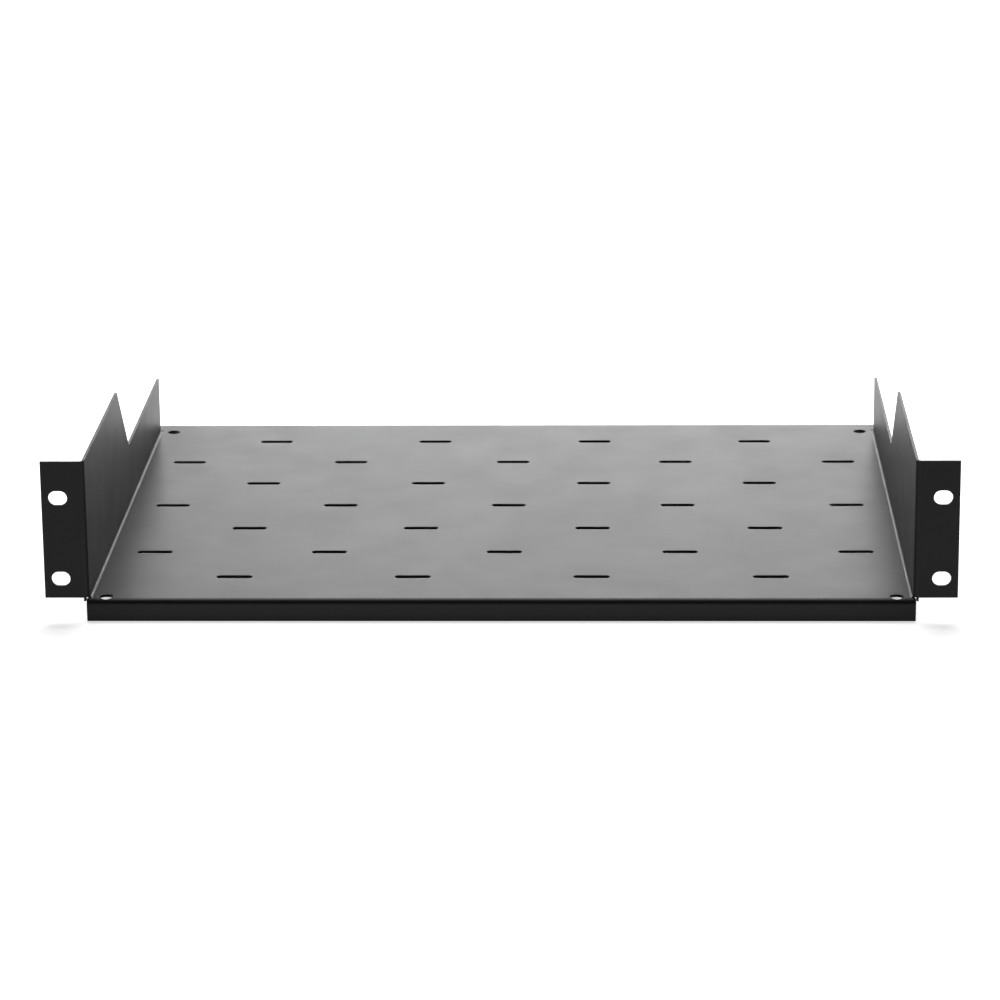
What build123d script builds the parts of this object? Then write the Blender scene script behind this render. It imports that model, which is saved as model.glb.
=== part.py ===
from build123d import *
import os
from math import radians, tan

# Vented cantilever rack shelf, folded from one steel sheet, in millimetres.
# X runs across the rack, Y from the front to the back and Z up. The origin is under the
# middle of the shelf, on the plane that its two lips stand on.

# Rack interface: a panel of whole rack units with one slotted hole in the middle of each unit
rack_unit = 44.45
rack_units = 2
panel_gap = 0.9
panel_width = 482.6
ear_width = 21.8
ear_hole_edge = 8.75
ear_hole_lift = 1.325
ear_slot_length = 10.0
ear_slot_width = 7.8

# Sheet and its bends
sheet = 1.5
inner_radius = 1.5

# Tray, with a lip folded down along its front and its back
depth = 350.0
lip_height = 12.0

# Side walls: full height at the front, then a slope down to a low rear part
front_wall_length = 141.0
wall_slope = 45.0
rear_wall_height = 33.5
wall_end_gap = 16.0

# Corner reliefs between the walls, the lips and the ears
front_slit = 0.5
rear_slit = 2.0
ear_lift = 1.0
toe_gap = 0.1
toe_width = 1.2
toe_drop = 2.0

# Vent slots in staggered rows
vent_length = 19.5
vent_width = 5.0
vent_pitch = 96.4
vent_row_pitch = 45.0
vent_row_margin = 38.0
vent_side_margin = 20.0

# Round holes in the tray's corners
corner_hole_diameter = 7.5
corner_hole_inset = 10.0
back_hole_inset = 18.0

# Heights above the plane the shelf stands on
panel_height = rack_units * rack_unit - panel_gap
tray_top = lip_height
tray_bottom = tray_top - sheet
ear_bottom = tray_top + ear_lift
rear_wall_top = tray_top + rear_wall_height

# Places across the shelf and along it
outer_radius = inner_radius + sheet
panel_edge = panel_width / 2
wall_outer = panel_edge - ear_width
wall_inner = wall_outer - sheet
tray_flat = wall_outer - outer_radius
front = -depth / 2
back = depth / 2
wall_start = front + outer_radius + front_slit
wall_end = back - wall_end_gap
step_start = front + front_wall_length
step_end = step_start + (panel_height - rear_wall_top) / tan(radians(wall_slope))

# Holes and slots
ear_holes_x = panel_width - 2 * ear_hole_edge
ear_holes_z = (rack_units - 1) * rack_unit
ear_holes_middle = (rack_unit + ear_holes_z) / 2 + ear_hole_lift
corner_hole_x = wall_outer - corner_hole_inset
front_hole_y = front + sheet + corner_hole_diameter / 2
back_hole_y = back - back_hole_inset
vent_rows = int((depth - 2 * vent_row_margin) / vent_row_pitch) + 1
vent_columns = int(2 * (tray_flat - vent_side_margin) / vent_pitch) + 1

with BuildPart() as shelf:
    # Right half of the tray and its two lips, as one folded section
    with BuildSketch(Plane.YZ):
        with BuildLine():
            FilletPolyline(
                (front, 0), (front, tray_top), (back, tray_top), (back, 0), radius=outer_radius
            )
            offset(amount=sheet, side=Side.RIGHT)
        make_face()
    extrude(amount=wall_outer)

    # Strip cut out of the tray's side, where the wall folds up
    with BuildSketch(Plane.XY.offset(tray_bottom)):
        with BuildLine():
            Polyline(
                (tray_flat, wall_start - front_slit),
                (wall_outer, wall_start - front_slit),
                (wall_outer, wall_end + rear_slit),
                (tray_flat, wall_end + rear_slit),
                close=True,
            )
        make_face()
    extrude(amount=sheet, mode=Mode.SUBTRACT)

    # Side wall with its bend, rooted in the tray
    with BuildSketch(Plane.XZ.offset(-wall_start)):
        with BuildLine():
            FilletPolyline(
                (tray_flat - sheet, tray_bottom),
                (wall_outer, tray_bottom),
                (wall_outer, panel_height),
                radius=outer_radius,
            )
            offset(amount=sheet, side=Side.LEFT)
        make_face()
    extrude(amount=wall_start - wall_end)

    # Step in the wall: everything above the slope and the low rear part goes
    with BuildSketch(Plane.YZ.offset(tray_flat)):
        with BuildLine():
            Polyline(
                (step_start, panel_height),
                (step_end, rear_wall_top),
                (wall_end, rear_wall_top),
                (wall_end, panel_height),
                close=True,
            )
        make_face()
    extrude(amount=outer_radius, mode=Mode.SUBTRACT)

    # Ear folded outwards from the front of the wall
    with BuildSketch(Plane.XY.offset(ear_bottom)) as ear_section:
        with BuildLine():
            FilletPolyline(
                (wall_inner, wall_start),
                (wall_inner, front),
                (panel_edge, front),
                radius=outer_radius,
            )
            offset(amount=sheet, side=Side.LEFT)
        make_face()
    extrude(amount=panel_height - ear_bottom)

    # Toe of the ear's bend, which runs down past the end of the front lip
    with BuildSketch(Plane.XY.offset(ear_bottom - toe_drop)):
        add(ear_section.sketch.moved(Location((0, 0, -toe_drop))))
        with Locations((wall_outer + toe_gap, front)):
            Rectangle(toe_width, outer_radius, align=Align.MIN, mode=Mode.INTERSECT)
    extrude(amount=toe_drop)

    mirror(about=Plane.YZ)

    # Slotted mounting holes in the ears
    with BuildSketch(Plane.XZ.offset(-front)):
        with Locations((0, ear_holes_middle)):
            with GridLocations(ear_holes_x, ear_holes_z, 2, rack_units):
                SlotOverall(ear_slot_length, ear_slot_width)
    extrude(amount=-sheet, mode=Mode.SUBTRACT)

    # Staggered vent slots: a short row, then a long row, and so on to the back
    with BuildSketch(Plane.XY.offset(tray_bottom)):
        for row in range(vent_rows):
            row_y = (row - (vent_rows - 1) / 2) * vent_row_pitch
            slots_in_row = vent_columns - 1 + row % 2
            with Locations((0, row_y)):
                with GridLocations(vent_pitch, 0, slots_in_row, 1):
                    SlotOverall(vent_length, vent_width)
    extrude(amount=sheet, mode=Mode.SUBTRACT)

    # Corner holes: the front pair runs out against the inside of the front lip
    with BuildSketch(Plane.XY.offset(tray_top)):
        for hole_y in (front_hole_y, back_hole_y):
            with Locations((-corner_hole_x, hole_y), (corner_hole_x, hole_y)):
                Circle(corner_hole_diameter / 2)
    extrude(amount=-outer_radius, mode=Mode.SUBTRACT)

shelf.part.label = "shelf"
os.makedirs("parts", exist_ok=True)
export_step(shelf.part, "parts/shelf.step")
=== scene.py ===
"""Vented rack shelf, folded from one steel sheet and powder coated black.

The sheet is built as the real one is: a tray punched with staggered slots, lips folded down
along its front and back, side walls folded up and ears folded outwards. The sheet's sizes are
in millimetres, and those of the studio and of the finished meshes are in metres. X runs across
the rack, Y from the front to the back and Z up, as in the CAD model.
"""

from __future__ import annotations

import logging
import math
from dataclasses import dataclass, field
from enum import Enum
from typing import Any, Sequence

import bpy
from mathutils import Matrix, Vector

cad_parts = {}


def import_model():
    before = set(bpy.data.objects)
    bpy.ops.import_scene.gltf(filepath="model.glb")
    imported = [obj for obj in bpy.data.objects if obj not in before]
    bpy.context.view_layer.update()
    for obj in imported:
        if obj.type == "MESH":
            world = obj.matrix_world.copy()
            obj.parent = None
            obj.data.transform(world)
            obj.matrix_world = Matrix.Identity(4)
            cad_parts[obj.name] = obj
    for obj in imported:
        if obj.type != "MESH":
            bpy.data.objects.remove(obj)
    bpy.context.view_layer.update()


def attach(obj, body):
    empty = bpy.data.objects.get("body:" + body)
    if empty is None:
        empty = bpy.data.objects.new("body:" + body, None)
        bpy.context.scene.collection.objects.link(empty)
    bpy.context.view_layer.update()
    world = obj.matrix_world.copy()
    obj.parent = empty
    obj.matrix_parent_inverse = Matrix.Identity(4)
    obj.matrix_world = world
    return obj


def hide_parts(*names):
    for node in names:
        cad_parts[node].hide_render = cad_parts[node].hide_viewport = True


LOG = logging.getLogger("rack_shelf")
MM = 0.001

# Places of a colour Mix node's colours and result, and of an integer Compare node's values
MIX_FIRST, MIX_SECOND, MIX_RESULT = 6, 7, 2
COMPARE_FIRST, COMPARE_SECOND = 2, 3

Point = tuple[float, float, float]
Corner = tuple[Point, Point]


class Layer(Enum):
    """Which surface of the sheet a cell belongs to."""

    BOTH = "both"
    FACE = "face"
    BACK = "back"


def linear(hex_colour: str) -> tuple[float, float, float, float]:
    """Turns an sRGB hex colour into linear red, green, blue and alpha, by the sRGB curve.

    Args:
        hex_colour: the colour as "#rrggbb".

    Returns:
        The four linear values, with an alpha of 1.
    """
    values = [int(hex_colour[i : i + 2], 16) / 255 for i in (1, 3, 5)]
    red, green, blue = (
        v / 12.92 if v <= 0.04045 else ((v + 0.055) / 1.055) ** 2.4 for v in values
    )
    return (red, green, blue, 1.0)


def add_node(
    tree: bpy.types.NodeTree,
    kind: str,
    settings: dict[str, Any] | None = None,
    inputs: dict[int | str, Any] | None = None,
) -> bpy.types.Node:
    """Adds a node, with its settings and what goes into its sockets.

    Args:
        tree: the node tree that gets the node.
        kind: Blender's name of the node type.
        settings: properties of the node itself.
        inputs: a value, or an output socket to link, for each input's name or place.

    Returns:
        The new node.
    """
    node = tree.nodes.new(kind)
    for name, value in (settings or {}).items():
        setattr(node, name, value)
    for name, value in (inputs or {}).items():
        if isinstance(value, bpy.types.NodeSocket):
            tree.links.new(value, node.inputs[name])
        else:
            node.inputs[name].default_value = value
    return node


def new_material(name: str) -> tuple[bpy.types.Material, bpy.types.NodeSocket]:
    """Starts a node material.

    Args:
        name: the material's name.

    Returns:
        The material, and the Object coordinates that its patterns read.
    """
    material = bpy.data.materials.new(name)
    material.use_nodes = True
    material.node_tree.nodes.clear()
    place = add_node(material.node_tree, "ShaderNodeTexCoord").outputs["Object"]
    return material, place


@dataclass(frozen=True)
class PowderCoat:
    """Satin black polyester powder coat, sprayed on dry and baked: it flows into a skin with a
    faint orange peel and a fine grain, dark face on and bright at a glancing angle. The grain
    mirrors less than a smooth coat, which the low index of refraction stands for."""

    name: str = "black_powder_coat"
    colour: str = "#161616"
    bloom_colour: str = "#1c1c1d"
    roughness: float = 0.45
    roughness_spread: float = 0.016
    ior: float = 1.3
    grain_mm: float = 0.8
    grain_height_mm: float = 0.0018
    grain_detail: float = 2.0
    peel_mm: float = 3.2
    peel_height_mm: float = 0.003
    peel_detail: float = 1.0
    cloud_mm: float = 24.0
    cloud_detail: float = 2.0
    cloud_thin: float = 0.3
    cloud_thick: float = 0.7

    def material(self) -> bpy.types.Material:
        """Builds the coat's node material.

        Returns:
            The material, on Object coordinates.
        """
        material, place = new_material(self.name)
        tree = material.node_tree

        # Faint clouds, where the coat is a little thicker or thinner
        cloud = add_node(
            tree,
            "ShaderNodeTexNoise",
            inputs={
                "Vector": place,
                "Scale": 1 / (self.cloud_mm * MM),
                "Detail": self.cloud_detail,
            },
        )
        colour = add_node(
            tree,
            "ShaderNodeMix",
            settings={"data_type": "RGBA"},
            inputs={
                "Factor": cloud.outputs["Fac"],
                MIX_FIRST: linear(self.colour),
                MIX_SECOND: linear(self.bloom_colour),
            },
        )
        roughness = add_node(
            tree,
            "ShaderNodeMapRange",
            inputs={
                "Value": cloud.outputs["Fac"],
                "From Min": self.cloud_thin,
                "From Max": self.cloud_thick,
                "To Min": self.roughness - self.roughness_spread,
                "To Max": self.roughness + self.roughness_spread,
            },
        )

        # Orange peel of a few millimetres, and a fine powder grain on it
        relief: dict[str, Any] = {"Strength": 1.0}
        for size, height, detail in (
            (self.peel_mm, self.peel_height_mm, self.peel_detail),
            (self.grain_mm, self.grain_height_mm, self.grain_detail),
        ):
            noise = add_node(
                tree,
                "ShaderNodeTexNoise",
                inputs={"Vector": place, "Scale": 1 / (size * MM), "Detail": detail},
            )
            relief |= {"Height": noise.outputs["Fac"], "Distance": height * MM}
            bump = add_node(tree, "ShaderNodeBump", inputs=relief)
            relief["Normal"] = bump.outputs["Normal"]
        shader = add_node(
            tree,
            "ShaderNodeBsdfPrincipled",
            inputs={
                "Base Color": colour.outputs[MIX_RESULT],
                "Roughness": roughness.outputs["Result"],
                "IOR": self.ior,
                "Normal": relief["Normal"],
            },
        )
        add_node(tree, "ShaderNodeOutputMaterial", inputs={"Surface": shader.outputs["BSDF"]})
        return material


@dataclass(frozen=True)
class SweepPaint:
    """Matt white paint of the studio sweep. It is lit like the rest, with light of its own added
    for the camera and for reflections, so that it shows white and its shadow stays faint. The
    part behind the shelf, where a black coat mirrors it at a glancing angle, gets more, and
    the part under the tray gets none, which paints a shadow there. Lengths are in metres."""

    name: str = "white_sweep_paint"
    colour: str = "#f2f2f2"
    mottle_colour: str = "#f8f8f8"
    mottle_mm: float = 300.0
    mottle_detail: float = 2.0
    added_front: float = 0.6
    added_back: float = 1.0
    turn_front: float = -0.25
    turn_back: float = 0.2
    # Where the painted shadow under the tray reaches, and how far it fades in
    painted_shadow_reach_x: float = 0.2195
    painted_shadow_reach_y: float = 0.175
    painted_shadow_fade: float = 0.03

    def material(self) -> bpy.types.Material:
        """Builds the sweep's node material.

        Returns:
            The material, on Object coordinates.
        """
        material, place = new_material(self.name)
        tree = material.node_tree
        mottle = add_node(
            tree,
            "ShaderNodeTexNoise",
            inputs={
                "Vector": place,
                "Scale": 1 / (self.mottle_mm * MM),
                "Detail": self.mottle_detail,
            },
        )
        colour = add_node(
            tree,
            "ShaderNodeMix",
            settings={"data_type": "RGBA"},
            inputs={
                "Factor": mottle.outputs["Fac"],
                MIX_FIRST: linear(self.colour),
                MIX_SECOND: linear(self.mottle_colour),
            },
        )
        paint = add_node(
            tree, "ShaderNodeBsdfDiffuse", inputs={"Color": colour.outputs[MIX_RESULT]}
        )
        ray = add_node(tree, "ShaderNodeLightPath").outputs
        seen = ray["Is Camera Ray"]
        for other in ("Is Glossy Ray", "Is Transmission Ray"):
            seen = add_node(
                tree,
                "ShaderNodeMath",
                settings={"operation": "MAXIMUM"},
                inputs={0: seen, 1: ray[other]},
            ).outputs[0]
        axes = add_node(tree, "ShaderNodeSeparateXYZ", inputs={0: place}).outputs
        level = add_node(
            tree,
            "ShaderNodeMapRange",
            inputs={
                "Value": axes["Y"],
                "From Min": self.turn_front,
                "From Max": self.turn_back,
                "To Min": self.added_front,
                "To Max": self.added_back,
            },
        ).outputs["Result"]

        # Painted shadow under the tray: the added light is 1 outside the tray's edges, down to 0
        # under its middle
        clear_of_painted_shadow = 0.0
        for axis, reach in (("X", self.painted_shadow_reach_x), ("Y", self.painted_shadow_reach_y)):
            away = add_node(
                tree,
                "ShaderNodeMath",
                settings={"operation": "ABSOLUTE"},
                inputs={0: axes[axis]},
            )
            beyond = add_node(
                tree,
                "ShaderNodeMapRange",
                settings={"interpolation_type": "SMOOTHSTEP"},
                inputs={
                    "Value": away.outputs[0],
                    "From Min": reach - self.painted_shadow_fade,
                    "From Max": reach,
                },
            )
            clear_of_painted_shadow = add_node(
                tree,
                "ShaderNodeMath",
                settings={"operation": "MAXIMUM"},
                inputs={0: clear_of_painted_shadow, 1: beyond.outputs["Result"]},
            ).outputs[0]

        # The added light, weaker towards the front and none in the painted shadow under the tray
        strength = seen
        for factor in (level, clear_of_painted_shadow):
            strength = add_node(
                tree,
                "ShaderNodeMath",
                settings={"operation": "MULTIPLY"},
                inputs={0: strength, 1: factor},
            ).outputs[0]
        added = add_node(
            tree,
            "ShaderNodeEmission",
            inputs={"Color": linear("#ffffff"), "Strength": strength},
        )
        both = add_node(
            tree, "ShaderNodeAddShader", inputs={0: paint.outputs[0], 1: added.outputs[0]}
        )
        add_node(tree, "ShaderNodeOutputMaterial", inputs={"Surface": both.outputs[0]})
        return material


class SheetMesh:
    """Cells of a folded sheet. Each corner has a point on the sheet's face and one on its
    back, and the cut edges close between them wherever the cells end."""

    same_digits = 3

    def __init__(self) -> None:
        """Starts with no corners and no cells."""
        self.corners: list[Corner] = []
        self.places: dict[Corner, int] = {}
        self.cells: dict[Layer, list[list[int]]] = {Layer.FACE: [], Layer.BACK: []}

    def corner(self, face: Point, back: Point) -> int:
        """Finds or adds a corner.

        Args:
            face: its point on the sheet's face, in millimetres.
            back: its point on the sheet's back, in millimetres.

        Returns:
            The corner's number.
        """
        # Adding 0.0 turns -0.0 into 0.0
        key = tuple(
            tuple(round(v, self.same_digits) + 0.0 for v in point) for point in (face, back)
        )
        if key not in self.places:
            self.places[key] = len(self.corners)
            self.corners.append((face, back))
        return self.places[key]

    def cell(self, corners: Sequence[Corner], layer: Layer = Layer.BOTH) -> None:
        """Adds a cell.

        Args:
            corners: its corners, anticlockwise seen from the sheet's face.
            layer: the surface that it belongs to.
        """
        loop = [self.corner(*c) for c in corners]
        for one in (Layer.FACE, Layer.BACK):
            if layer in (one, Layer.BOTH):
                self.cells[one].append(loop)

    def pair(self, corners: Sequence[Corner], layer: Layer = Layer.BOTH) -> None:
        """Adds a cell of the right half and its mirror image on the left.

        Args:
            corners: the right cell's corners, anticlockwise seen from the sheet's face.
            layer: the surface that it belongs to.
        """
        self.cell(corners, layer)
        mirrored = [tuple((-x, y, z) for x, y, z in corner) for corner in reversed(corners)]
        self.cell(mirrored, layer)

    def mesh(self, name: str) -> bpy.types.Mesh:
        """Closes the sheet's cut edges and makes the mesh.

        Args:
            name: the mesh's name.

        Returns:
            A closed mesh in metres, facing outwards.
        """
        count = len(self.corners)
        points = [face for face, _ in self.corners] + [back for _, back in self.corners]
        faces = [list(loop) for loop in self.cells[Layer.FACE]]
        faces += [[count + i for i in reversed(loop)] for loop in self.cells[Layer.BACK]]
        sides = {
            (a, b)
            for loop in self.cells[Layer.FACE]
            for a, b in zip(loop, loop[1:] + loop[:1])
        }
        faces += [[b, a, count + a, count + b] for a, b in sorted(sides) if (b, a) not in sides]
        mesh = bpy.data.meshes.new(name)
        mesh.from_pydata([tuple(v * MM for v in p) for p in points], [], faces)
        mesh.validate()
        return mesh


@dataclass
class PunchedPanel:
    """A flat panel of the sheet with its punched holes, made by Geometry Nodes: one tree
    punches a rule of slots with a collar round each, and a second fills the rest."""

    name: str
    outline: list[tuple[float, float]]
    collar: float = 0.7
    loop_points: int = 32

    def __post_init__(self) -> None:
        """Starts the panel as its outline."""
        mesh = bpy.data.meshes.new(self.name)
        count = len(self.outline)
        mesh.from_pydata(
            [(x * MM, y * MM, 0) for x, y in self.outline],
            [(i, (i + 1) % count) for i in range(count)],
            [],
        )
        seam = mesh.attributes.new("seam", "BOOLEAN", "POINT")
        for i in range(count):
            seam.data[i].value = True
        self.work = bpy.data.objects.new(self.name, mesh)
        bpy.context.scene.collection.objects.link(self.work)

    def use(self, tree: bpy.types.NodeTree, values: dict[str, Any]) -> None:
        """Adds a Geometry Nodes modifier to the panel.

        Args:
            tree: its node tree.
            values: a value for each of the tree's named inputs.
        """
        modifier = self.work.modifiers.new(tree.name, "NODES")
        modifier.node_group = tree
        for item in tree.interface.items_tree:
            if item.item_type == "SOCKET" and item.name in values:
                modifier[item.identifier] = values[item.name]

    def punch(
        self,
        tree: bpy.types.NodeTree,
        length: float,
        width: float,
        columns: int,
        rows: int,
        across: float,
        along: float,
        centre: tuple[float, float],
        stagger: bool = False,
    ) -> None:
        """Punches a pattern of slots, or of round holes where length equals width.

        Args:
            tree: the slot tree.
            length: a slot's whole length.
            width: a slot's width.
            columns: slots in a row.
            rows: number of rows.
            across: distance between slots in a row.
            along: distance between rows.
            centre: the pattern's middle.
            stagger: shifts every other row by half a pitch and takes its last slot away.
        """
        self.use(
            tree,
            {
                "Length": length * MM,
                "Width": width * MM,
                "Columns": columns,
                "Rows": rows,
                "Across": across * MM,
                "Along": along * MM,
                "Centre": (centre[0] * MM, centre[1] * MM, 0.0),
                "Stagger": 1 if stagger else 0,
                "Collar": self.collar * MM,
                "Loop Points": self.loop_points,
            },
        )

    def cells(self, fill: bpy.types.NodeTree) -> list[list[tuple[float, float]]]:
        """Fills the panel round its holes.

        Args:
            fill: the tree that fills it.

        Returns:
            The panel's cells, each a list of flat points in millimetres, anticlockwise.
        """
        self.use(fill, {})
        graph = bpy.context.evaluated_depsgraph_get()
        mesh = bpy.data.meshes.new_from_object(self.work.evaluated_get(graph))
        found = []
        for polygon in mesh.polygons:
            loop = [mesh.vertices[i].co / MM for i in polygon.vertices]
            area = sum(a.x * b.y - a.y * b.x for a, b in zip(loop, loop[1:] + loop[:1]))
            if area < 0:
                loop.reverse()
            found.append([(p.x, p.y) for p in loop])
        bpy.data.objects.remove(self.work)
        bpy.data.meshes.remove(mesh)
        return found


def new_tree(name: str, sockets: Sequence[tuple[str, str]]) -> bpy.types.NodeTree:
    """Starts a Geometry Nodes tree.

    Args:
        name: the tree's name.
        sockets: name and socket type of each input after the geometry.

    Returns:
        The tree, with a geometry input and output and those inputs.
    """
    tree = bpy.data.node_groups.new(name, "GeometryNodeTree")
    tree.interface.new_socket("Geometry", in_out="OUTPUT", socket_type="NodeSocketGeometry")
    tree.interface.new_socket("Geometry", in_out="INPUT", socket_type="NodeSocketGeometry")
    for label, kind in sockets:
        tree.interface.new_socket(label, in_out="INPUT", socket_type=kind)
    return tree


# Inputs of the slot tree after its geometry, with their types
SLOT_INPUTS = (
    ("Length", "NodeSocketFloat"),
    ("Width", "NodeSocketFloat"),
    ("Columns", "NodeSocketInt"),
    ("Rows", "NodeSocketInt"),
    ("Across", "NodeSocketFloat"),
    ("Along", "NodeSocketFloat"),
    ("Centre", "NodeSocketVector"),
    ("Stagger", "NodeSocketInt"),
    ("Collar", "NodeSocketFloat"),
    ("Loop Points", "NodeSocketInt"),
)

# Sums of the slot tree: what each is called, its operation and its values. A value that is a
# name is an earlier sum or an input. With Stagger on, the first and every other row is short.
SLOT_SUMS: tuple[tuple[Any, ...], ...] = (
    ("column", "MODULO", "index", "Columns"),
    ("rows_passed", "DIVIDE", "index", "Columns"),
    ("row", "FLOOR", "rows_passed"),
    ("odd", "MODULO", "row", 2.0),
    ("even", "SUBTRACT", 1.0, "odd"),
    ("short", "MULTIPLY", "even", "Stagger"),
    ("last_column", "SUBTRACT", "Columns", 1.0),
    ("middle_column", "MULTIPLY", "last_column", 0.5),
    ("columns_away", "SUBTRACT", "column", "middle_column"),
    ("shift", "MULTIPLY", "short", 0.5),
    ("steps_across", "ADD", "columns_away", "shift"),
    ("centre_x", "MULTIPLY", "steps_across", "Across"),
    ("last_row", "SUBTRACT", "Rows", 1.0),
    ("middle_row", "MULTIPLY", "last_row", 0.5),
    ("rows_away", "SUBTRACT", "row", "middle_row"),
    ("centre_y", "MULTIPLY", "rows_away", "Along"),
    ("count", "MULTIPLY", "Rows", "Columns"),
    ("before_last", "SUBTRACT", "Columns", 1.5),
    ("is_last", "GREATER_THAN", "column", "before_last"),
    ("dropped", "MULTIPLY", "is_last", "short"),
    ("point_middle", "ADD", "index", 0.5),
    ("part_turn", "DIVIDE", "point_middle", "Loop Points"),
    ("new_turn", "MULTIPLY", "part_turn", math.tau),
    ("straight", "SUBTRACT", "Length", "Width"),
    ("reach", "MULTIPLY", "straight", 0.5),
    ("cosine", "COSINE", "turn"),
    ("sine", "SINE", "turn"),
    ("side", "SIGN", "cosine"),
    ("end_x", "MULTIPLY", "side", "reach"),
    ("edge_radius", "MULTIPLY", "Width", 0.5),
    ("edge_round_x", "MULTIPLY", "cosine", "edge_radius"),
    ("edge_x", "ADD", "edge_round_x", "end_x"),
    ("edge_y", "MULTIPLY", "sine", "edge_radius"),
    ("seam_radius", "ADD", "edge_radius", "Collar"),
    ("seam_round_x", "MULTIPLY", "cosine", "seam_radius"),
    ("seam_x", "ADD", "seam_round_x", "end_x"),
    ("seam_y", "MULTIPLY", "sine", "seam_radius"),
)


def slot_tree(material: bpy.types.Material) -> bpy.types.NodeTree:
    """Builds the tree that punches a pattern of slots.

    Each slot is a ring of quads: its inner loop is the slot's edge, and its outer loop, marked
    as a seam, is where the rest of the panel joins it.

    Args:
        material: the finish that the rings get.

    Returns:
        The node tree.
    """
    tree = new_tree("punch_slots", SLOT_INPUTS)
    given = add_node(tree, "NodeGroupInput").outputs
    turn = add_node(
        tree,
        "GeometryNodeInputNamedAttribute",
        settings={"data_type": "FLOAT"},
        inputs={"Name": "turn"},
    )
    found = {name: given[name] for name, _ in SLOT_INPUTS}
    found["index"] = add_node(tree, "GeometryNodeInputIndex").outputs[0]
    found["turn"] = turn.outputs["Attribute"]
    for name, operation, *values in SLOT_SUMS:
        node = add_node(
            tree,
            "ShaderNodeMath",
            settings={"operation": operation},
            inputs={i: found[v] if isinstance(v, str) else v for i, v in enumerate(values)},
        )
        found[name] = node.outputs[0]
    centre, edge_place, seam_place = (
        add_node(
            tree, "ShaderNodeCombineXYZ", inputs={"X": found[name + "_x"], "Y": found[name + "_y"]}
        ).outputs[0]
        for name in ("centre", "edge", "seam")
    )

    # A point for each slot, row by row, without the last one of a short row
    moved = add_node(
        tree,
        "ShaderNodeVectorMath",
        settings={"operation": "ADD"},
        inputs={0: centre, 1: given["Centre"]},
    )
    points = add_node(
        tree,
        "GeometryNodePoints",
        inputs={"Count": found["count"], "Position": moved.outputs[0]},
    )
    kept = add_node(
        tree,
        "GeometryNodeDeleteGeometry",
        settings={"domain": "POINT"},
        inputs={"Geometry": points.outputs[0], "Selection": found["dropped"]},
    )

    # One slot: a ring of points, drawn in from the collar's loop to the slot's edge
    ring = add_node(tree, "GeometryNodeMeshCircle", inputs={"Vertices": given["Loop Points"]})
    marked = add_node(
        tree,
        "GeometryNodeStoreNamedAttribute",
        settings={"data_type": "FLOAT", "domain": "POINT"},
        inputs={"Geometry": ring.outputs[0], "Name": "turn", "Value": found["new_turn"]},
    )
    outer = add_node(
        tree,
        "GeometryNodeSetPosition",
        inputs={"Geometry": marked.outputs[0], "Position": seam_place},
    )
    seam = add_node(
        tree,
        "GeometryNodeStoreNamedAttribute",
        settings={"data_type": "BOOLEAN", "domain": "POINT"},
        inputs={"Geometry": outer.outputs[0], "Name": "seam", "Value": True},
    )
    drawn = add_node(
        tree,
        "GeometryNodeExtrudeMesh",
        settings={"mode": "EDGES"},
        inputs={"Mesh": seam.outputs[0], "Offset Scale": 0.0},
    )
    inner = add_node(
        tree,
        "GeometryNodeSetPosition",
        inputs={
            "Geometry": drawn.outputs["Mesh"],
            "Selection": drawn.outputs["Top"],
            "Position": edge_place,
        },
    )
    edge = add_node(
        tree,
        "GeometryNodeStoreNamedAttribute",
        settings={"data_type": "BOOLEAN", "domain": "POINT"},
        inputs={
            "Geometry": inner.outputs[0],
            "Selection": drawn.outputs["Top"],
            "Name": "seam",
            "Value": False,
        },
    )
    slots = add_node(
        tree,
        "GeometryNodeInstanceOnPoints",
        inputs={"Points": kept.outputs[0], "Instance": edge.outputs[0]},
    )
    real = add_node(tree, "GeometryNodeRealizeInstances", inputs={"Geometry": slots.outputs[0]})
    joined = add_node(tree, "GeometryNodeJoinGeometry")
    tree.links.new(given["Geometry"], joined.inputs[0])
    tree.links.new(real.outputs[0], joined.inputs[0])
    coated = add_node(
        tree,
        "GeometryNodeSetMaterial",
        inputs={"Geometry": joined.outputs[0], "Material": material},
    )
    add_node(tree, "NodeGroupOutput", inputs={0: coated.outputs[0]})
    return tree


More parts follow.
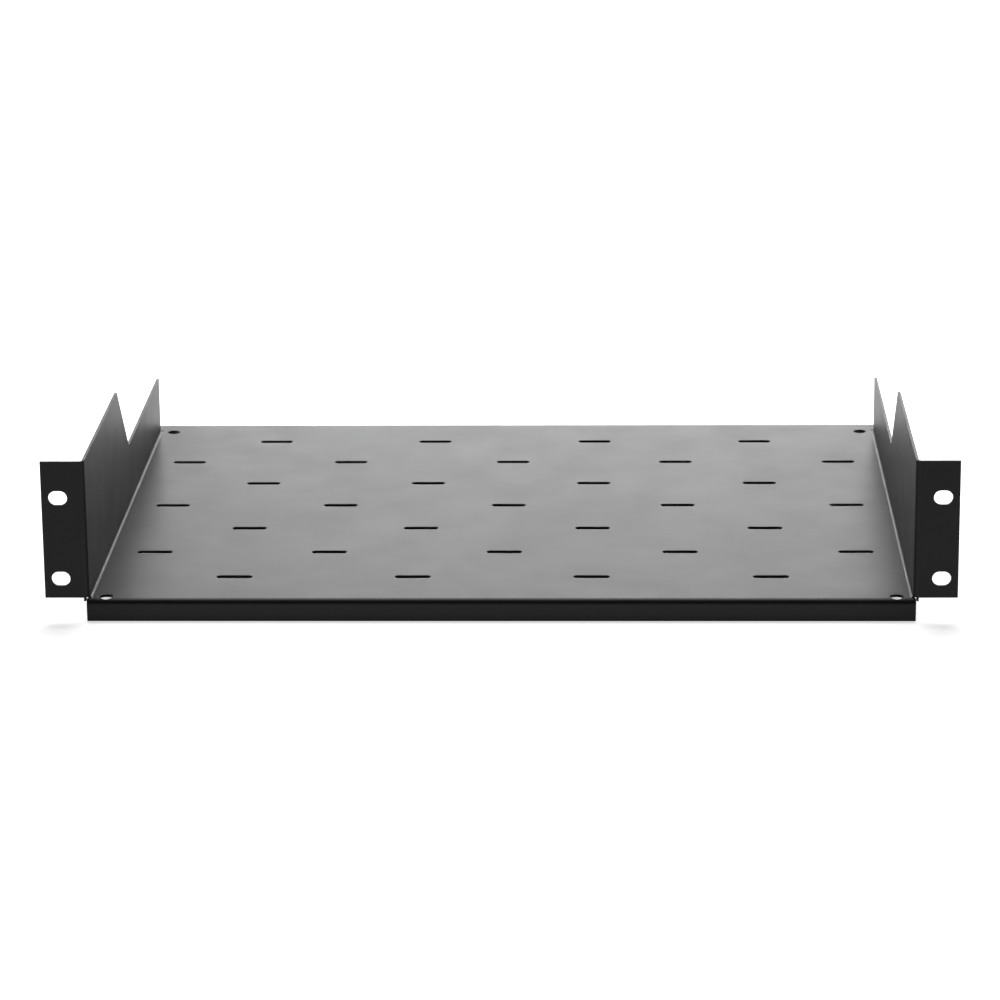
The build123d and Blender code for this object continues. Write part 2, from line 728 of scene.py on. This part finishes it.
def fill_tree(material: bpy.types.Material) -> bpy.types.NodeTree:
    """Builds the tree that fills a panel between its outline and the seams of its slots.

    Args:
        material: the finish that the panel gets.

    Returns:
        The node tree.
    """
    merge_distance = 0.005 * MM
    tree = new_tree("fill_panel", [])
    given = add_node(tree, "NodeGroupInput").outputs
    seam = add_node(
        tree,
        "GeometryNodeInputNamedAttribute",
        settings={"data_type": "BOOLEAN"},
        inputs={"Name": "seam"},
    )
    loops = add_node(
        tree,
        "GeometryNodeMeshToCurve",
        inputs={"Mesh": given["Geometry"], "Selection": seam.outputs["Attribute"]},
    )
    filled = add_node(
        tree,
        "GeometryNodeFillCurve",
        settings={"mode": "TRIANGLES"},
        inputs={"Curve": loops.outputs[0]},
    )
    neighbours = add_node(tree, "GeometryNodeInputMeshEdgeNeighbors")
    loose = add_node(
        tree,
        "FunctionNodeCompare",
        settings={"data_type": "INT", "operation": "EQUAL"},
        inputs={COMPARE_FIRST: neighbours.outputs[0], COMPARE_SECOND: 0},
    )
    rings = add_node(
        tree,
        "GeometryNodeDeleteGeometry",
        settings={"domain": "EDGE"},
        inputs={"Geometry": given["Geometry"], "Selection": loose.outputs[0]},
    )
    joined = add_node(tree, "GeometryNodeJoinGeometry")
    tree.links.new(filled.outputs[0], joined.inputs[0])
    tree.links.new(rings.outputs[0], joined.inputs[0])
    real = add_node(tree, "GeometryNodeRealizeInstances", inputs={"Geometry": joined.outputs[0]})
    merged = add_node(
        tree,
        "GeometryNodeMergeByDistance",
        inputs={"Geometry": real.outputs[0], "Distance": merge_distance},
    )
    coated = add_node(
        tree,
        "GeometryNodeSetMaterial",
        inputs={"Geometry": merged.outputs[0], "Material": material},
    )
    add_node(tree, "NodeGroupOutput", inputs={0: coated.outputs[0]})
    return tree


@dataclass
class FoldedShelf:
    """The shelf's one folded sheet, with its sizes in millimetres and its turns in degrees."""

    name: str = "folded_shelf"

    # Sheet, its bends and the rounding of its coated edges
    sheet: float = 1.5
    inner_radius: float = 1.5
    bend_steps: int = 6
    coated_edge: float = 0.12
    edge_steps: int = 2
    edge_turn: float = 35.0
    flat_weight: int = 100

    # Whole shelf
    panel_edge: float = 241.3
    panel_height: float = 88.0
    wall_outer: float = 219.5
    depth: float = 350.0
    lip_height: float = 12.0

    # Side walls, high at the front and low at the rear
    front_wall_length: float = 141.0
    rear_wall_height: float = 33.5
    slope_length: float = 42.5
    wall_end_gap: float = 16.0

    # Reliefs at the corners, and the toe of the ear's bend
    front_slit: float = 0.5
    rear_slit: float = 2.0
    ear_lift: float = 1.0
    toe_gap: float = 0.1
    toe_width: float = 1.2
    toe_drop: float = 2.0
    toe_steps: tuple[int, int, int] = (5, 4, 1)
    toe_slack: float = 0.01

    # Two slots in each ear
    ear_slot: tuple[float, float] = (10.0, 7.8)
    ear_slot_edge: float = 8.75
    ear_slot_rise: float = 44.45
    ear_slots_middle: float = 45.775

    # Vent slots of the tray
    vent: tuple[float, float] = (19.5, 5.0)
    vent_pitch: float = 96.4
    vent_row_pitch: float = 45.0
    vent_rows: int = 7
    vent_columns: int = 5

    # Corner holes. The front pair stops just short of the inside of the lip, where its edge
    # would run down the sheet: it is smaller by the ease, and cut off at the reach.
    corner_hole: float = 7.5
    corner_hole_inset: float = 10.0
    back_hole_inset: float = 18.0
    hole_points: int = 36
    hole_margin: float = 2.0
    hole_ease: float = 0.07
    hole_foot_turn: float = 80.0
    hole_reach: float = 0.999

    parts: SheetMesh = field(default_factory=SheetMesh)

    def __post_init__(self) -> None:
        """Works out the steps and places that several parts share."""
        self.turns = [k / self.bend_steps for k in range(self.bend_steps + 1)]
        self.outer_radius = self.inner_radius + self.sheet
        self.tray_flat = self.wall_outer - self.outer_radius
        self.bend_line = self.depth / 2 - self.outer_radius
        self.lip_top = self.lip_height - self.outer_radius
        self.wall_foot = self.lip_height + self.inner_radius
        self.wall_start = self.front_slit - self.bend_line
        self.wall_end = self.depth / 2 - self.wall_end_gap
        self.step_start = self.front_wall_length - self.depth / 2
        self.step_end = self.step_start + self.slope_length
        self.rear_top = self.lip_height + self.rear_wall_height
        self.ear_bottom = self.lip_height + self.ear_lift
        self.hole_x = self.wall_outer - self.corner_hole_inset
        self.front_hole_y = self.sheet - self.depth / 2 + self.corner_hole / 2
        self.patch_side = self.hole_x - self.corner_hole / 2 - self.hole_margin
        self.patch_back = self.front_hole_y + self.corner_hole / 2 + self.hole_margin

    def tray(self, x: float, y: float) -> Corner:
        """Gives the tray's corner at a place.

        Args:
            x: the place across the rack.
            y: the place from front to back.

        Returns:
            The points on the tray's top and on its underside.
        """
        return (x, y, self.lip_height), (x, y, self.lip_height - self.sheet)

    def lip(self, x: float, turn: float, end: int, drop: float = 0.0) -> Corner:
        """Gives a corner in a lip's bend or below it.

        Args:
            x: the place across the rack.
            turn: how far round the bend it is, from 0 at the tray to 1 at the lip.
            end: -1 for the front lip and 1 for the back lip.
            drop: how far down the lip it is below its bend.

        Returns:
            The points on the lip's outside and inside.
        """
        angle = turn * math.pi / 2
        outside, inside = (
            (
                x,
                end * (self.bend_line + radius * math.sin(angle)),
                self.lip_top + radius * math.cos(angle) - drop,
            )
            for radius in (self.outer_radius, self.inner_radius)
        )
        return outside, inside

    def wall(self, y: float, turn: float, z: float | None = None) -> Corner:
        """Gives a corner in the right wall's bend or above it.

        Args:
            y: the place from front to back.
            turn: how far round the bend it is, from 0 at the tray to 1 at the wall.
            z: the height of a corner above the bend.

        Returns:
            The points on the wall's inside and outside.
        """
        angle = turn * math.pi / 2
        inside, outside = (
            (
                self.tray_flat + radius * math.sin(angle),
                y,
                z if z is not None else self.wall_foot - radius * math.cos(angle),
            )
            for radius in (self.inner_radius, self.outer_radius)
        )
        return inside, outside

    def ear(self, turns: tuple[float, float], z: float) -> Corner:
        """Gives a corner in the bend between the right wall and its ear.

        Args:
            turns: how far round the bend it is, in degrees, outside the bend and inside it.
            z: its height.

        Returns:
            The points on the ear's front and on its back.
        """
        middle = self.wall_outer + self.inner_radius
        front, back = (
            (
                middle - radius * math.cos(math.radians(turn)),
                -self.bend_line - radius * math.sin(math.radians(turn)),
                z,
            )
            for radius, turn in zip((self.outer_radius, self.inner_radius), turns)
        )
        return front, back

    def build_tray(self, slots: bpy.types.NodeTree, fill: bpy.types.NodeTree) -> None:
        """Builds the flat of the tray with its vent slots and rear corner holes.

        Args:
            slots: the tree that punches slots.
            fill: the tree that fills the panel.
        """
        flat, side = self.tray_flat, self.patch_side
        right = [
            (side, -self.bend_line),
            (side, self.patch_back),
            (self.hole_x, self.patch_back),
            (flat, self.patch_back),
            (flat, self.step_start),
            (flat, self.step_end),
            (flat, self.wall_end),
            (flat, self.wall_end + self.rear_slit),
            (self.wall_outer, self.wall_end + self.rear_slit),
            (self.wall_outer, self.bend_line),
        ]
        panel = PunchedPanel("tray_panel", right + [(-x, y) for x, y in reversed(right)])
        panel.punch(
            slots,
            *self.vent,
            columns=self.vent_columns,
            rows=self.vent_rows,
            across=self.vent_pitch,
            along=self.vent_row_pitch,
            centre=(0.0, 0.0),
            stagger=True,
        )
        panel.punch(
            slots,
            length=self.corner_hole,
            width=self.corner_hole,
            columns=2,
            rows=1,
            across=2 * self.hole_x,
            along=0.0,
            centre=(0.0, self.depth / 2 - self.back_hole_inset),
        )
        for cell in panel.cells(fill):
            self.parts.cell([self.tray(x, y) for x, y in cell])

    def build_lips(self) -> None:
        """Builds both lips with their bends, beside the front corner holes."""
        bend = [((near, 0.0), (far, 0.0)) for near, far in zip(self.turns, self.turns[1:])]
        flat = [((1.0, 0.0), (1.0, self.lip_top))]
        for end, edges in (
            (-1, [-self.wall_outer, -self.tray_flat, -self.patch_side]),
            (1, [-self.wall_outer]),
        ):
            edges = edges + [-x for x in reversed(edges)]
            for left, right in zip(edges, edges[1:]):
                middle = abs(left + right) / 2
                holed = end == -1 and self.patch_side < middle < self.tray_flat
                for (near, near_drop), (far, far_drop) in flat if holed else bend + flat:
                    corners = [
                        self.lip(left, near, end, near_drop),
                        self.lip(right, near, end, near_drop),
                        self.lip(right, far, end, far_drop),
                        self.lip(left, far, end, far_drop),
                    ]
                    self.parts.cell(corners if end > 0 else corners[::-1])

    def build_front_holes(self) -> None:
        """Builds the tray's front corners, where a hole runs from the flat into the bend.

        The bend's lines end on the hole's edge, at other places on the face than on the back,
        so the two surfaces are laid out apart and share the hole's edge.
        """
        radius, steps = self.corner_hole / 2 - self.hole_ease, self.bend_steps
        centre_y = self.front_hole_y
        line = -self.bend_line
        lines = {
            layer: [
                level
                for level in (
                    line - bend * math.sin(k / steps * math.pi / 2) for k in range(steps)
                )
                if level > centre_y - radius
            ]
            for layer, bend in ((Layer.FACE, self.outer_radius), (Layer.BACK, self.inner_radius))
        }
        near_foot = centre_y - radius * math.sin(math.radians(self.hole_foot_turn))
        levels = sorted({near_foot, *lines[Layer.FACE], *lines[Layer.BACK]}, reverse=True)

        def edge_point(x: float, y: float) -> Corner:
            """Gives the hole's edge at a place, where it runs straight down through the sheet.

            Args:
                x: the place across the rack.
                y: the place from front to back.

            Returns:
                The points on the sheet's face and on its back.
            """
            if y >= line:
                return self.tray(x, y)
            reach = min(line - y, self.hole_reach * self.inner_radius)
            face, back = (
                (x, y, self.lip_top + math.sqrt(bend**2 - reach**2))
                for bend in (self.outer_radius, self.inner_radius)
            )
            return face, back

        def beside(y: float) -> float:
            """Gives the half width of the hole at that level."""
            return math.sqrt(max(radius**2 - (y - centre_y) ** 2, 0.0))

        left = [edge_point(self.hole_x - beside(y), y) for y in levels]
        right = [edge_point(self.hole_x + beside(y), y) for y in levels]
        bottom = edge_point(self.hole_x, centre_y - radius)

        # Upper arc of the hole, from its left side to its top, and that arc's mirror image
        start = math.asin((line - centre_y) / radius)
        count = self.hole_points // 2
        angles = [start + (math.pi / 2 - start) * i / count for i in range(count + 1)]
        arc = [
            edge_point(self.hole_x - radius * math.cos(a), centre_y + radius * math.sin(a))
            for a in angles
        ]
        mirrored = [tuple((2 * self.hole_x - p[0], p[1], p[2]) for p in corner) for corner in arc]
        self.parts.pair(
            [self.tray(self.patch_side, line), *arc]
            + [self.tray(self.hole_x, self.patch_back), self.tray(self.patch_side, self.patch_back)]
        )
        self.parts.pair(
            [*reversed(mirrored), self.tray(self.tray_flat, line)]
            + [
                self.tray(self.tray_flat, self.wall_start),
                self.tray(self.tray_flat, self.patch_back),
                self.tray(self.hole_x, self.patch_back),
            ]
        )

        # Strips of the bend: cut in two by the hole, then notched by its foot, then whole
        for layer, crossed in lines.items():
            hits = [levels.index(level) for level in crossed]
            near = [self.lip(self.patch_side, turn, -1) for turn in self.turns]
            far = [self.lip(self.tray_flat, turn, -1) for turn in self.turns]
            for k in range(steps):
                if k + 1 < len(hits):
                    low, high = hits[k + 1], hits[k]
                    self.parts.pair([near[k + 1], *left[high : low + 1][::-1], near[k]], layer)
                    self.parts.pair([far[k + 1], far[k], *right[high : low + 1]], layer)
                elif k + 1 == len(hits):
                    high = hits[k]
                    self.parts.pair(
                        [near[k + 1], far[k + 1], far[k], *right[high:], bottom]
                        + [*left[high:][::-1], near[k]],
                        layer,
                    )
                else:
                    self.parts.pair([near[k + 1], far[k + 1], far[k], near[k]], layer)

    def build_walls(self) -> None:
        """Builds both side walls with their bends, slope and low rear part."""
        foot = self.wall_foot
        places = [
            (self.wall_start, self.panel_height),
            (self.patch_back, self.panel_height),
            (self.step_start, self.panel_height),
            (self.step_end, self.rear_top),
            (self.wall_end, self.rear_top),
        ]
        for (y0, top0), (y1, top1) in zip(places, places[1:]):
            for a, b in zip(self.turns, self.turns[1:]):
                corners = ((y0, a), (y0, b), (y1, b), (y1, a))
                self.parts.pair([self.wall(y, turn) for y, turn in corners])
            corners = ((y0, foot), (y0, top0), (y1, top1), (y1, foot))
            self.parts.pair([self.wall(y, 1, z) for y, z in corners])

    def build_ears(self, slots: bpy.types.NodeTree, fill: bpy.types.NodeTree) -> None:
        """Builds both ears with their bends, the toes under them and the mounting slots.

        Args:
            slots: the tree that punches slots.
            fill: the tree that fills the panel.
        """
        low, top = self.ear_bottom, self.panel_height
        centre = self.wall_outer + self.inner_radius
        sides = [self.wall_outer + self.toe_gap]
        sides.append(sides[0] + self.toe_width)
        toe = [
            tuple(
                math.degrees(math.acos((centre - side) / radius))
                for radius in (self.outer_radius, self.inner_radius)
            )
            for side in sides
        ]
        stops = [(0.0, 0.0), *toe, (90.0, 90.0)]
        turns: list[tuple[float, float]] = []
        for (a, b), count in zip(zip(stops, stops[1:]), self.toe_steps):
            turns += [tuple(p + (q - p) * i / count for p, q in zip(a, b)) for i in range(count)]
        turns.append(stops[-1])

        # Neck between the wall and the ear's bend, then the bend and its toe
        self.parts.pair(
            [
                self.ear((0, 0), low),
                self.ear((0, 0), top),
                self.wall(self.wall_start, 1, top),
                self.wall(self.wall_start, 1, self.wall_foot),
            ]
        )
        for near, far in zip(turns, turns[1:]):
            spans = [(low, top)]
            if toe[0][0] - self.toe_slack <= near[0] < toe[1][0] - self.toe_slack:
                spans.append((low - self.toe_drop, low))
            for foot, head in spans:
                corners = ((far, foot), (far, head), (near, head), (near, foot))
                self.parts.pair([self.ear(turn, z) for turn, z in corners])

        panel = PunchedPanel(
            "ear_panel",
            [(centre, low), (self.panel_edge, low), (self.panel_edge, top), (centre, top)],
        )
        panel.punch(
            slots,
            *self.ear_slot,
            columns=1,
            rows=2,
            across=0.0,
            along=self.ear_slot_rise,
            centre=(self.panel_edge - self.ear_slot_edge, self.ear_slots_middle),
        )
        front = -self.depth / 2
        for cell in panel.cells(fill):
            self.parts.pair([((x, front, z), (x, front + self.sheet, z)) for x, z in cell])

    def build(self, coat: bpy.types.Material) -> bpy.types.Object:
        """Builds the folded sheet and rounds its cut edges, as the coat does.

        Args:
            coat: the powder coat.

        Returns:
            The finished shelf.
        """
        slots, fill = slot_tree(coat), fill_tree(coat)
        self.build_tray(slots, fill)
        self.build_lips()
        self.build_front_holes()
        self.build_walls()
        self.build_ears(slots, fill)
        mesh = self.parts.mesh(self.name)
        mesh.materials.append(coat)
        work = bpy.data.objects.new(self.name + "_sharp", mesh)
        bpy.context.scene.collection.objects.link(work)
        for polygon in mesh.polygons:
            polygon.use_smooth = True
        bevel = work.modifiers.new("coated_edges", "BEVEL")
        bevel.width = self.coated_edge * MM
        bevel.segments = self.edge_steps
        bevel.limit_method = "ANGLE"
        bevel.angle_limit = math.radians(self.edge_turn)
        bevel.use_clamp_overlap = False
        bevel.miter_outer = "MITER_SHARP"
        level = work.modifiers.new("flat_faces", "WEIGHTED_NORMAL")
        level.mode = "FACE_AREA"
        level.weight = self.flat_weight
        level.keep_sharp = False
        graph = bpy.context.evaluated_depsgraph_get()
        finished = bpy.data.meshes.new_from_object(
            work.evaluated_get(graph), preserve_all_data_layers=True, depsgraph=graph
        )
        finished.name = self.name
        bpy.data.objects.remove(work)
        shelf = bpy.data.objects.new(self.name, finished)
        bpy.context.scene.collection.objects.link(shelf)
        return shelf


@dataclass(frozen=True)
class SoftBox:
    """A soft rectangular lamp, with its places and size in metres and its power in watts."""

    name: str
    place: Point
    aim: Point
    size: tuple[float, float]
    power: float

    def build(self) -> bpy.types.Object:
        """Builds the lamp.

        Returns:
            The lamp, which faces its aim.
        """
        light = bpy.data.lights.new(self.name, "AREA")
        light.shape = "RECTANGLE"
        light.size, light.size_y = self.size
        light.energy = self.power
        lamp = bpy.data.objects.new(self.name, light)
        direction = Vector(self.aim) - Vector(self.place)
        turn = direction.to_track_quat("-Z", "Y").to_matrix().to_4x4()
        lamp.matrix_world = Matrix.Translation(self.place) @ turn
        bpy.context.scene.collection.objects.link(lamp)
        return lamp


@dataclass(frozen=True)
class Studio:
    """White sweep, soft lamps and the camera, with sizes in metres."""

    sweep_width: float = 36.0
    sweep_front: float = -18.0
    sweep_back: float = 4.5
    sweep_curve: float = 1.2
    sweep_steps: int = 12
    sweep_height: float = 5.0
    soft_boxes: tuple[SoftBox, ...] = (
        SoftBox("overhead_softbox", (0.0, 1.0, 2.3), (0.0, 0.0, 0.0), (2.0, 1.2), 61.0),
        SoftBox("back_softbox", (0.0, 3.0, 0.52), (0.0, 0.0, 0.05), (1.3, 0.65), 21.0),
    )
    room_light: float = 0.03
    camera_place: Point = (0.062987, -2.1139, 0.6414)
    camera_yaw: float = -0.0322
    camera_pitch: float = 0.2879
    camera_roll: float = 0.0099
    focal_pixels: float = 3856.3
    picture_pixels: float = 1000.0
    sensor_mm: float = 36.0
    clip: tuple[float, float] = (0.05, 60.0)

    def build_sweep(self, paint: bpy.types.Material) -> bpy.types.Object:
        """Builds the floor that curves up into the back wall.

        Args:
            paint: the sweep's paint.

        Returns:
            The sweep, marked as the stage.
        """
        half = self.sweep_width / 2
        profile = [(self.sweep_front, 0.0), (self.sweep_back - self.sweep_curve, 0.0)]
        for i in range(1, self.sweep_steps + 1):
            angle = i / self.sweep_steps * math.pi / 2
            profile.append(
                (
                    self.sweep_back - self.sweep_curve * (1 - math.sin(angle)),
                    self.sweep_curve * (1 - math.cos(angle)),
                )
            )
        profile.append((self.sweep_back, self.sweep_height))
        points = [(x, y, z) for y, z in profile for x in (-half, half)]
        faces = [(2 * i, 2 * i + 1, 2 * i + 3, 2 * i + 2) for i in range(len(profile) - 1)]
        mesh = bpy.data.meshes.new("sweep")
        mesh.from_pydata(points, [], faces)
        mesh.materials.append(paint)
        for polygon in mesh.polygons:
            polygon.use_smooth = True
        sweep = bpy.data.objects.new("sweep", mesh)
        bpy.context.scene.collection.objects.link(sweep)
        return sweep

    def build_world(self) -> None:
        """Gives the room its even, dim light."""
        world = bpy.data.worlds.new("room")
        world.use_nodes = True
        tree = world.node_tree
        tree.nodes.clear()
        glow = add_node(
            tree,
            "ShaderNodeBackground",
            inputs={"Color": linear("#ffffff"), "Strength": self.room_light},
        )
        add_node(tree, "ShaderNodeOutputWorld", inputs={"Surface": glow.outputs[0]})
        bpy.context.scene.world = world

    def build_camera(self) -> bpy.types.Object:
        """Builds the camera at the photograph's place and angle.

        Returns:
            The camera, which the scene then uses.
        """
        yaw, pitch, roll = self.camera_yaw, self.camera_pitch, self.camera_roll
        ahead = Vector(
            (
                math.sin(yaw) * math.cos(pitch),
                math.cos(yaw) * math.cos(pitch),
                -math.sin(pitch),
            )
        )
        level = Vector((math.cos(yaw), -math.sin(yaw), 0.0))
        down = ahead.cross(level)
        right = math.cos(roll) * level + math.sin(roll) * down
        below = math.cos(roll) * down - math.sin(roll) * level
        turn = Matrix((right, -below, -ahead)).transposed().to_4x4()
        data = bpy.data.cameras.new("camera")
        data.sensor_width = self.sensor_mm
        data.lens = self.focal_pixels * data.sensor_width / self.picture_pixels
        data.clip_start, data.clip_end = self.clip
        camera = bpy.data.objects.new("camera", data)
        camera.matrix_world = Matrix.Translation(self.camera_place) @ turn
        bpy.context.scene.collection.objects.link(camera)
        bpy.context.scene.camera = camera
        return camera

    def build(self) -> None:
        """Builds the sweep, the lamps, the room's light and the camera."""
        self.build_camera()
        self.build_sweep(SweepPaint().material())
        self.build_world()
        for soft_box in self.soft_boxes:
            soft_box.build()
        LOG.info("studio is built")


def main() -> None:
    """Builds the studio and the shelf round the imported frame."""
    logging.basicConfig(level=logging.INFO, format="%(name)s: %(message)s")
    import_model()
    bpy.context.scene.view_settings.view_transform = "Standard"

    Studio().build()
    coat = PowderCoat().material()
    shelf = FoldedShelf().build(coat)
    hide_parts("shelf")
    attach(shelf, "root")
    LOG.info(
        "%s: %d vertices, %d faces",
        shelf.name,
        len(shelf.data.vertices),
        len(shelf.data.polygons),
    )


if __name__ == "__main__":
    main()
